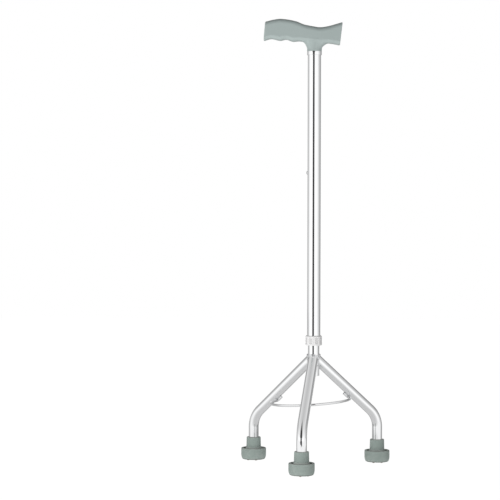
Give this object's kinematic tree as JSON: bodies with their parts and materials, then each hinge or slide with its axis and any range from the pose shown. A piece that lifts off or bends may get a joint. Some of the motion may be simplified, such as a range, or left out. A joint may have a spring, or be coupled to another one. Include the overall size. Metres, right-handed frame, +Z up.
{
  "type": "tripod cane",
  "caption": "Walking cane with a moulded T-handle on a chromed telescopic shaft, locking collar and a splayed tripod base with rubber feet.",
  "frame": {"origin": "on the floor, under the middle of the box round the part; the mast's axis stands at x -2.9 mm, y 27.9 mm", "axes": "+Z up along the mast; X along the handle with the grip towards -X; the front leg points to -Y"},
  "size_m": [0.2536, 0.2268, 0.7488],
  "materials": {
    "chrome": "bright polished plating on steel tube",
    "handle_plastic": "satin moulded grey-green",
    "foot_rubber": "matt moulded grey-green",
    "collar_plastic": "frosted, lets some light through",
    "bush_plastic": "moulded",
    "guide_plastic": "moulded",
    "button_steel": "turned",
    "spring_steel": "blued strip",
    "steel": "zinc plated",
    "stud_steel": "turned, brownish",
    "weld": "weld bead plated over"
  },
  "bodies": {
    "base": {"stem_tube": "chrome", "stem_guide": "guide_plastic", "button_spring": "spring_steel", "front_leg": "chrome", "left_leg": "chrome", "right_leg": "chrome", "hub_weld": "weld", "brace_wire": "chrome", "brace_welds": "weld", "front_foot": "foot_rubber", "front_foot_washer": "steel", "front_foot_studs": "stud_steel", "left_foot": "foot_rubber", "left_foot_washer": "steel", "left_foot_studs": "stud_steel", "right_foot": "foot_rubber", "right_foot_washer": "steel", "right_foot_studs": "stud_steel"},
    "mast": {"mast_tube": "chrome", "handle": "handle_plastic", "handle_ferrule": "chrome", "handle_screw": "steel", "collet_bush": "bush_plastic"},
    "collar": {"locking_collar": "collar_plastic"},
    "button": {"snap_button": "button_steel"}
  },
  "joints": [
    {"name": "height_adjust", "type": "slide", "parent": "base", "child": "mast", "axis": [0, 0, 1], "range_m": [0, 0.228]},
    {"name": "button_press", "type": "slide", "parent": "base", "child": "button", "axis": [0.9397, -0.342, 0], "range_m": [0, 0.004], "stiffness_N_per_m": 600, "springref_m": -0.003, "deforming": ["button_spring"]},
    {"name": "collar_turn", "type": "hinge", "parent": "mast", "child": "collar", "pos_m": [-0.00285, 0.02794, 0.211], "axis": [0, 0, 1], "range_deg": [-270, 0]}
  ]
}
